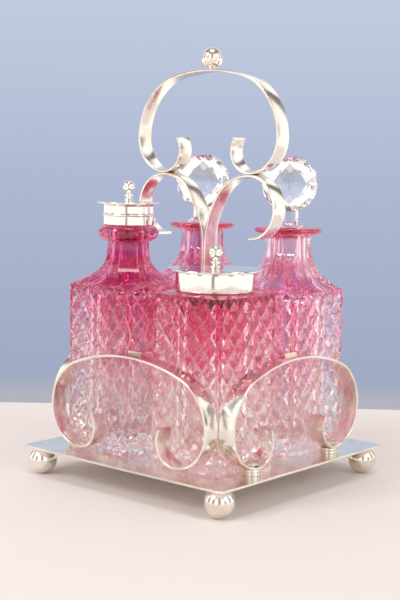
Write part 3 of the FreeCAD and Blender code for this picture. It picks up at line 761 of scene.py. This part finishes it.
def make_handle(material):
    """The open ring, and the two strips under it that part and curl outwards."""
    low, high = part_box("handle_ring")
    half_width = (high.x - low.x) / 2
    path = arch_path(half_width, high.z, low.z, RING_CROWN_RADIUS, half_width - arm_crown(),
                     CURL_RADIUS)
    make_strip("handle_ring", path, high.y - low.y, material)
    for node, turn in (("handle_strip_right", 0.0), ("handle_strip_left", math.pi)):
        low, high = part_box(node)
        split, crown_x = high.z - ARM_HEIGHT, arm_crown()
        outer_z = high.z - ARM_OUTER_RADIUS
        arcs = [(ARM_SPREAD_RADIUS, split, ARM_SPREAD_RADIUS),
                (crown_x, high.z - ARM_SHOULDER_RADIUS, ARM_SHOULDER_RADIUS),
                (crown_x, outer_z, ARM_OUTER_RADIUS),
                (crown_x + ARM_OUTER_RADIUS - ARM_CURL_RADIUS, outer_z, ARM_CURL_RADIUS)]
        half = STRIP_THICKNESS / 2
        path = [(STEM_TAB, low.z + half, 0, -1)]
        for i in range(ROUND_STEPS + 1):
            angle = math.pi / 2 * (i / ROUND_STEPS)
            across, up = -math.sin(angle), -math.cos(angle)
            path.append((TAB_BEND + (TAB_BEND - half) * across,
                         low.z + TAB_BEND + (TAB_BEND - half) * up, across, up))
        path += curled_path(arcs, (-1, 0), (0, -1))
        make_strip(node, path, high.y - low.y, material, turn)


# ------------------------------------------------------------------ turned silver pieces
TURNED_STEPS = 96


def lathe(profile, notch=None):
    """A solid turned from (radius, height) points; a closed tube if it never meets the axis."""
    shell = Shell()
    rings = []
    solid = profile[0][0] == 0
    for radius, height in profile:
        if radius == 0:
            continue
        points = []
        for i in range(TURNED_STEPS):
            angle = 2 * math.pi * i / TURNED_STEPS
            reach = min(radius, notch(angle)) if notch else radius
            points.append((reach * math.cos(angle), reach * math.sin(angle), height))
        rings.append(shell.ring(points))
    for lower, upper in zip(rings, rings[1:]):
        shell.bridge(lower, upper)
    if solid:
        shell.cap(rings[0], upwards=False)
        shell.cap(rings[-1], upwards=True)
    else:
        shell.bridge(rings[-1], rings[0])
    return shell


def place_turned(node, shell, body, material, name=None, centre=None):
    """Make the piece at its node's middle, unless a centre is given, and stand it for the node."""
    if centre is None:
        low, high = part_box(node)
        centre = (low + high) / 2
    piece = shell.finished(name or f"{node}_turned", material, centre.x, centre.y)
    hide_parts(node)
    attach(piece, body)


ON_AXIS = 1e-6                     # a radius in metres that counts as none


def make_ball(node, material, foot_share, top_share):
    """A ball cut flat below and above, at these shares of its radius from its middle."""
    low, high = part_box(node)
    radius = (high.x - low.x) / 2
    middle = low.z + radius * foot_share
    angles = [-math.degrees(math.asin(foot_share)), math.degrees(math.asin(top_share))]
    profile = [(0, low.z)] + arc(0, middle, radius, *angles, 40)
    profile = [point for point in profile if point[0] > ON_AXIS or point == profile[0]]
    place_turned(node, lathe(profile + [(0, profile[-1][1])]), "stand", material)


# Shares of a knob's ball radius, and of its stem's height.
KNOB_WIDE = 0.75
KNOB_NARROW = 0.42
KNOB_SUNK = 0.85                   # from the ball's middle down to the stem's top
KNOB_BEAD = 0.16


def make_knob(node, body, material):
    """A ball on a waisted stem with two beads."""
    low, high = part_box(node)
    ball = (high.x - low.x) / 2
    middle = high.z - ball
    stem = middle - ball * KNOB_SUNK - low.z
    wide, narrow = ball * KNOB_WIDE, ball * KNOB_NARROW
    bead = stem * KNOB_BEAD
    profile = [(0, low.z), (wide, low.z)]
    profile += arc(wide - bead, low.z + bead, bead, -60, 90, 6)
    profile += [(narrow, low.z + stem * 0.45)]
    profile += arc(narrow + bead * 0.6, low.z + stem * 0.62, bead * 0.9, -90, 90, 8)
    profile += [(narrow * 0.9, low.z + stem * 0.86)]
    profile += arc(0, middle, ball, -62, 84, 30)
    place_turned(node, lathe(profile + [(0, high.z)]), body, material)


def make_caster_mounts(material):
    """The caster's collar with its rolled rim, and the cap, a disc over a skirt."""
    low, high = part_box("caster_collar")
    rim = (high.x - low.x) / 2
    wall, inner, bead, chamfer = rim - 0.6 * MM, 9.0 * MM, 0.55 * MM, 0.3 * MM
    outer = [(inner, low.z), (wall - chamfer, low.z), (wall, low.z + chamfer),
             (wall, high.z - bead * 2.2)]
    outer += arc(rim - bead, high.z - bead, bead, -80, 80, 8)
    place_turned("caster_collar", lathe(outer + [(inner, high.z)]), "caster", material)
    cap_low, cap_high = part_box("caster_cap")
    flange, edge, sheet = (cap_high.x - cap_low.x) / 2, 0.4 * MM, 0.9 * MM
    skirt_top = cap_high.z - sheet
    ceiling, skirt_inner = skirt_top - chamfer, wall - sheet
    profile = [(0, ceiling), (skirt_inner, ceiling), (skirt_inner, high.z), (wall - 0.2 * MM, high.z),
               (wall, high.z + chamfer), (wall, skirt_top - 1.0 * MM),
               (wall + 0.5 * MM, skirt_top - 0.35 * MM), (flange - 0.8 * MM, skirt_top)]
    profile += arc(flange - edge, cap_high.z - edge, edge, -70, 90, 8)
    profile += [(flange - 1.4 * MM, cap_high.z - 0.12 * MM), (wall - 1 * MM, cap_high.z - 0.05 * MM),
                (0, cap_high.z)]
    place_turned("caster_cap", lathe(profile), "caster_top", material)


LID_GAP = 0.03 * MM                # air under the lid, so that it and the collar are apart
NOTCH_ANGLE = math.radians(-23)    # where the spoon's notch is in the lid, from +X
NOTCH_RADIUS = 3 * MM


def make_pot_mounts(material):
    """The mustard pot's collar, and its flat lid with a notch for the spoon."""
    low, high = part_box("mustard_collar")
    outer, inner, bead = (high.x - low.x) / 2, 15.2 * MM, 0.35 * MM
    neck, waist, band = inner + 2.05 * MM, outer - 0.12 * MM, 1.2 * MM
    profile = [(neck, low.z)] + arc(outer - bead, low.z + bead, bead, -80, 60, 6)
    profile += [(waist, low.z + band), (waist, high.z - band)]
    profile += arc(outer - bead, high.z - bead, bead, -60, 90, 6) + [(inner, high.z)]
    profile += [(inner, high.z - 0.8 * MM), (neck, high.z - 0.85 * MM)]
    place_turned("mustard_collar", lathe(profile), "mustard_pot", material)
    lid_low, lid_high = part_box("mustard_lid")
    radius, edge = (lid_high.x - lid_low.x) / 2, 0.35 * MM
    flat, bevel = radius - 1.2 * MM, 0.15 * MM

    def notch(angle):
        """How far the lid reaches at this angle."""
        off = (angle - NOTCH_ANGLE + math.pi) % (2 * math.pi) - math.pi
        side = radius * math.sin(off)
        if abs(side) > NOTCH_RADIUS or abs(off) > math.pi / 2:
            return radius
        return radius * math.cos(off) - math.sqrt(NOTCH_RADIUS ** 2 - side ** 2)

    rest = high.z + LID_GAP
    profile = [(0, rest), (flat, rest), (radius - edge, rest + bevel)]
    profile += arc(radius - edge, lid_high.z - edge, edge, -70, 90, 6)
    profile += [(flat, lid_high.z - bevel), (radius * 0.6, lid_high.z - 0.05 * MM), (0, lid_high.z)]
    place_turned("mustard_lid", lathe(profile, notch), "mustard_lid", material)


def make_collars(material):
    """Four waisted collars under the feet of the side scrolls, as one piece."""
    low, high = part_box("scroll_collars")
    radius, hole, bead = 4.25 * MM, 1.55 * MM, 0.7 * MM
    profile = [(hole, low.z), (radius - bead, low.z)]
    profile += arc(radius - bead, low.z + bead, bead, -90, 70, 7)
    profile += [(radius - bead * 1.3, (low.z + high.z) / 2)]
    profile += arc(radius - bead, high.z - bead, bead, -70, 90, 7) + [(hole, high.z)]
    whole = Shell()
    for x in (low.x + radius, high.x - radius):
        for y in (low.y + radius, high.y - radius):
            one = lathe(profile)
            first = len(whole.points)
            whole.points += [(px + x, py + y, pz) for px, py, pz in one.points]
            whole.faces += [tuple(i + first for i in face) for face in one.faces]
            whole.smooth += one.smooth
    place_turned("scroll_collars", whole, "stand", material, centre=Vector((0, 0, 0)))


def rounded_square(half, radius, height):
    """A square outline with round corners."""
    steps = 8
    points = []
    for quarter, (a, b) in enumerate(((1, 1), (-1, 1), (-1, -1), (1, -1))):
        for i in range(steps + 1):
            angle = math.pi / 2 * (quarter + i / steps)
            points.append((a * (half - radius) + radius * math.cos(angle),
                           b * (half - radius) + radius * math.sin(angle), height))
    return points


PLATE_EDGE_STEPS = 9


def make_plate(material):
    """The square base plate, with small round corners and a rounded edge."""
    low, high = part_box("base_plate")
    half, corner, edge = (high.x - low.x) / 2, 3 * MM, 0.4 * MM
    shell = Shell()
    ring = shell.ring(rounded_square(half - edge, corner - edge, low.z))
    shell.face(tuple(reversed(ring)), False)
    for step in range(1, PLATE_EDGE_STEPS + 1):
        angle = math.pi * step / PLATE_EDGE_STEPS
        inset = edge * (1 - math.sin(angle))
        if step * 2 < PLATE_EDGE_STEPS:
            height = low.z + edge * (1 - math.cos(angle))
        else:
            height = high.z - edge * (1 + math.cos(angle))
        following = shell.ring(rounded_square(half - inset, corner - inset, height))
        shell.bridge(ring, following)
        ring = following
    shell.face(tuple(ring), False)
    place_turned("base_plate", shell, "stand", material, name="base_plate_sheet")


# ---------------------------------------------------------------------- stage and light
TABLE_BEHIND = 0.165
TABLE_AHEAD = 0.6
TABLE_SIDE = 0.6
TABLE_THICKNESS = 0.02

# The wall's colour by height, then the room's by how far it is from the wall, as shares.
WALL_STOPS = [(0.4075, (0.45, 0.455, 0.515)), (0.4125, (0.35, 0.40, 0.54)),
              (0.49, (0.43, 0.48, 0.65)), (0.565, (0.54, 0.61, 0.75))]
BEHIND_STOPS = [(0.045, (0, 0, 0)), (0.10, (1, 1, 1))]
WINDOW = (1.32, 1.27, 1.22)
FRAME = (0.18, 0.16, 0.17)
# Middles and half widths of the dark uprights between the windows, as shares of the round.
UPRIGHTS = ((0.14, 0.020), (0.26, 0.012), (0.37, 0.012), (0.5, 0.014), (0.63, 0.012), (0.74, 0.012),
            (0.86, 0.020))
FRAME_BLUR = 0.016
FIGURE = (0.34, 0.32, 0.31)        # a soft upright in front of the object, at eye level
WARM = (1.32, 1.24, 1.18)          # the windows at eye level and below
FIGURE_STOPS = [(0.462, WARM), (0.478, FIGURE), (0.486, FIGURE), (0.500, WARM)]
# By height: the dark uprights begin above eye level, and a darker ceiling band lies over them.
EYE_STOPS = [(0.49, (0, 0, 0)), (0.53, (1, 1, 1))]
CEILING = (0.42, 0.40, 0.40)
CEILING_STOPS = [(0.80, WINDOW), (0.88, CEILING), (0.95, CEILING), (1.0, WINDOW)]


def barred(bars):
    """Bright stops with dark bars at these middles and half widths."""
    stops = [(0.0, WINDOW)]
    for middle, half in bars:
        stops += [(middle - half - FRAME_BLUR, WINDOW), (middle - half, FRAME),
                  (middle + half, FRAME), (middle + half + FRAME_BLUR, WINDOW)]
    return stops


def make_stage(material):
    """The table top, square to the camera, with its far edge close behind the object."""
    shell = Shell()
    axes = view_axes(CAMERA_AZIMUTH, 0)
    rings = []
    for height in (-TABLE_THICKNESS, 0.0):
        corners = []
        for across, along in ((-TABLE_SIDE, TABLE_AHEAD), (TABLE_SIDE, TABLE_AHEAD),
                              (TABLE_SIDE, -TABLE_BEHIND), (-TABLE_SIDE, -TABLE_BEHIND)):
            corners.append(axes[0] * across + axes[2] * along + Vector((0, 0, height)))
        rings.append(shell.ring(corners))
    shell.bridge(rings[0], rings[1], smooth=False)
    shell.face(tuple(rings[1]), False)
    shell.face(tuple(reversed(rings[0])), False)
    table = shell.finished("floor", material)
    table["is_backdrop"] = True


def make_world():
    """A blue-grey wall behind the object, and a bright room with windows all round the rest."""
    world = bpy.data.worlds.new("studio")
    bpy.context.scene.world = world
    world.use_nodes = True
    sky = Tree(world.node_tree)
    place = sky.add("ShaderNodeTexCoord").outputs["Generated"]

    def along(direction):
        """How far a ray goes along a direction, from -1 to 1."""
        dot = sky.add("ShaderNodeVectorMath", operation="DOT_PRODUCT")
        dot.inputs[1].default_value = direction
        sky.link(place, dot.inputs[0])
        return dot.outputs["Value"]

    def towards(direction):
        """The same as a share, from 0 for straight away to 1 for straight at it."""
        return sky.spread(along(direction), -1, 1, 0, 1)

    def blended(kind, first, second):
        """A mix node over two colours, with its factor still to be given."""
        node = sky.add("ShaderNodeMix", data_type="RGBA", blend_type=kind)
        sky.link(first, node.inputs["A"])
        sky.link(second, node.inputs["B"])
        return node

    def mixed(share, first, second):
        node = blended("MIX", first, second)
        sky.link(share, node.inputs["Factor"])
        return node.outputs["Result"]

    right, _up, back = view_axes(CAMERA_AZIMUTH, 0)
    around = sky.add("ShaderNodeMath", operation="ARCTAN2")
    sky.link(along(right), around.inputs[0])
    sky.link(along(back), around.inputs[1])
    turn = sky.spread(around.outputs["Value"], -math.pi, math.pi, 0, 1)
    height = towards(Vector((0, 0, 1)))
    windows = blended("DARKEN", sky.ramp(turn, barred(UPRIGHTS)), sky.ramp(height, CEILING_STOPS))
    windows.inputs["Factor"].default_value = 1
    low_room = sky.ramp(turn, FIGURE_STOPS)
    room = mixed(sky.ramp(height, EYE_STOPS), low_room, windows.outputs["Result"])
    whole = mixed(sky.ramp(towards(back), BEHIND_STOPS), sky.ramp(height, WALL_STOPS), room)
    sky.link(whole, sky.tree.nodes["Background"].inputs["Color"])


def make_light(name, azimuth, elevation, distance, size, watts, colour):
    """A soft square light that points at the middle of the object, with its angles in degrees."""
    axes = view_axes(math.radians(azimuth), math.radians(elevation))
    data = bpy.data.lights.new(name, "AREA")
    data.size = size
    data.energy = watts
    data.color = colour
    light = bpy.data.objects.new(name, data)
    bpy.context.scene.collection.objects.link(light)
    middle = (cad_low + cad_high) / 2
    rotation = Matrix(axes).transposed().to_4x4()
    light.matrix_world = Matrix.Translation(middle + axes[2] * distance) @ rotation
    light.visible_camera = False


# ---------------------------------------------------------------------------- assembly
# Colours by height, from the foot of a piece to its top.
RUBY_FADE = [(0.0, (0.88, 0.81, 0.81)), (0.18, (0.88, 0.79, 0.80)), (0.34, (0.88, 0.65, 0.70)),
             (0.5, (0.87, 0.42, 0.55)), (0.63, (0.84, 0.24, 0.42)), (0.7, (0.78, 0.15, 0.34)),
             (0.85, (0.82, 0.21, 0.45)), (0.93, (0.72, 0.12, 0.29)), (1.0, (0.68, 0.07, 0.20))]
PALE_FADE = [(0.0, (0.94, 0.86, 0.86)), (0.18, (0.94, 0.82, 0.83)), (0.34, (0.96, 0.68, 0.75)),
             (0.5, (0.97, 0.58, 0.70)), (0.64, (0.97, 0.50, 0.66)), (0.73, (0.93, 0.45, 0.65)),
             (0.9, (0.93, 0.69, 0.81)), (0.955, (0.93, 0.66, 0.77)), (0.972, (0.74, 0.05, 0.13)),
             (1.0, (0.70, 0.03, 0.10))]
DEEP_FADE = PALE_FADE[:4] + [(0.64, (0.95, 0.40, 0.58)), (0.73, (0.88, 0.30, 0.52)),
                             (0.9, (0.76, 0.45, 0.63)), (0.955, (0.76, 0.42, 0.58))] + PALE_FADE[-2:]
POT_FADE = [(0.0, (0.95, 0.90, 0.88)), (0.3, (0.95, 0.89, 0.88)), (0.45, (0.95, 0.79, 0.82)),
            (0.58, (0.92, 0.41, 0.55)), (0.8, (0.88, 0.20, 0.38)), (0.9, (0.70, 0.08, 0.20)),
            (1.0, (0.66, 0.07, 0.18))]

CLEAR = [(0.0, (0.97, 0.97, 0.97)), (1.0, (0.98, 0.98, 0.985))]
PLATE_COLOURS = ((0.83, 0.74, 0.62), (0.93, 0.89, 0.83), (0.95, 0.93, 0.90))
MOUNT_COLOURS = ((0.84, 0.80, 0.74), (0.88, 0.86, 0.82), (0.91, 0.90, 0.87))
STEEL_COLOURS = ((0.62, 0.52, 0.38), (0.78, 0.72, 0.62), (0.86, 0.82, 0.75))

make_camera()
make_world()
make_stage(cloth("table_cover"))
make_light("key", azimuth=-20, elevation=40, distance=1.3, size=0.42, watts=4.2, colour=(1.0, 0.97, 0.93))
make_light("fill", azimuth=95, elevation=30, distance=1.3, size=0.5, watts=2.0, colour=(1.0, 0.98, 0.95))
make_light("top", azimuth=40, elevation=82, distance=1.1, size=0.34, watts=2.4, colour=(1.0, 0.99, 0.97))

finishes = {
    "silver_plate": silver("silver_plate", PLATE_COLOURS, roughness=(0.13, 0.26)),
    "mount_silver": silver("mount_silver", MOUNT_COLOURS, roughness=(0.05, 0.12)),
    "fasteners": silver("fasteners", STEEL_COLOURS, roughness=(0.18, 0.35)),
}
for entry in frame["record"]["subparts"]:
    finish = finishes.get(entry["material_slot"])
    if finish:
        cad = frame["nodes"][entry["node"]]
        cad.data.materials.clear()
        cad.data.materials.append(finish)

plate = finishes["silver_plate"]
mounts = finishes["mount_silver"]
make_plate(plate)
make_scrolls(plate)
make_handle(plate)
make_collars(plate)
for node in ("foot_front_left", "foot_front_right", "foot_back_left", "foot_back_right"):
    make_ball(node, plate, foot_share=0.963, top_share=0.869)
make_ball("finial", plate, foot_share=0.951, top_share=1.0)
make_knob("caster_knob", "caster_top", mounts)
make_knob("mustard_knob", "mustard_lid", mounts)
make_caster_mounts(mounts)
make_pot_mounts(mounts)

for node, body, stops in (("oil_bottle", "oil_bottle", DEEP_FADE),
                          ("vinegar_bottle", "vinegar_bottle", PALE_FADE)):
    low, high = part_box(node)
    piece = make_bottle(node, glass(f"{node}_glass", stops, low.z, high.z))
    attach(piece, body)
for node, body, stops, make in (("caster_glass", "caster", RUBY_FADE, make_caster_glass),
                                ("mustard_glass", "mustard_pot", POT_FADE, make_mustard_glass)):
    low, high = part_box(node)
    piece = make(glass(f"{node}_colour", stops, low.z, high.z))
    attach(piece, body)
for node in ("oil_stopper", "vinegar_stopper"):
    low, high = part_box(node)
    piece = make_stopper(node, glass(f"{node}_clear", CLEAR, low.z, high.z))
    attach(piece, node)

bpy.context.scene.view_settings.view_transform = "Standard"
bpy.context.scene.cycles.max_bounces = 40
bpy.context.scene.cycles.transmission_bounces = 36
bpy.context.scene.cycles.glossy_bounces = 16

low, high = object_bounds()
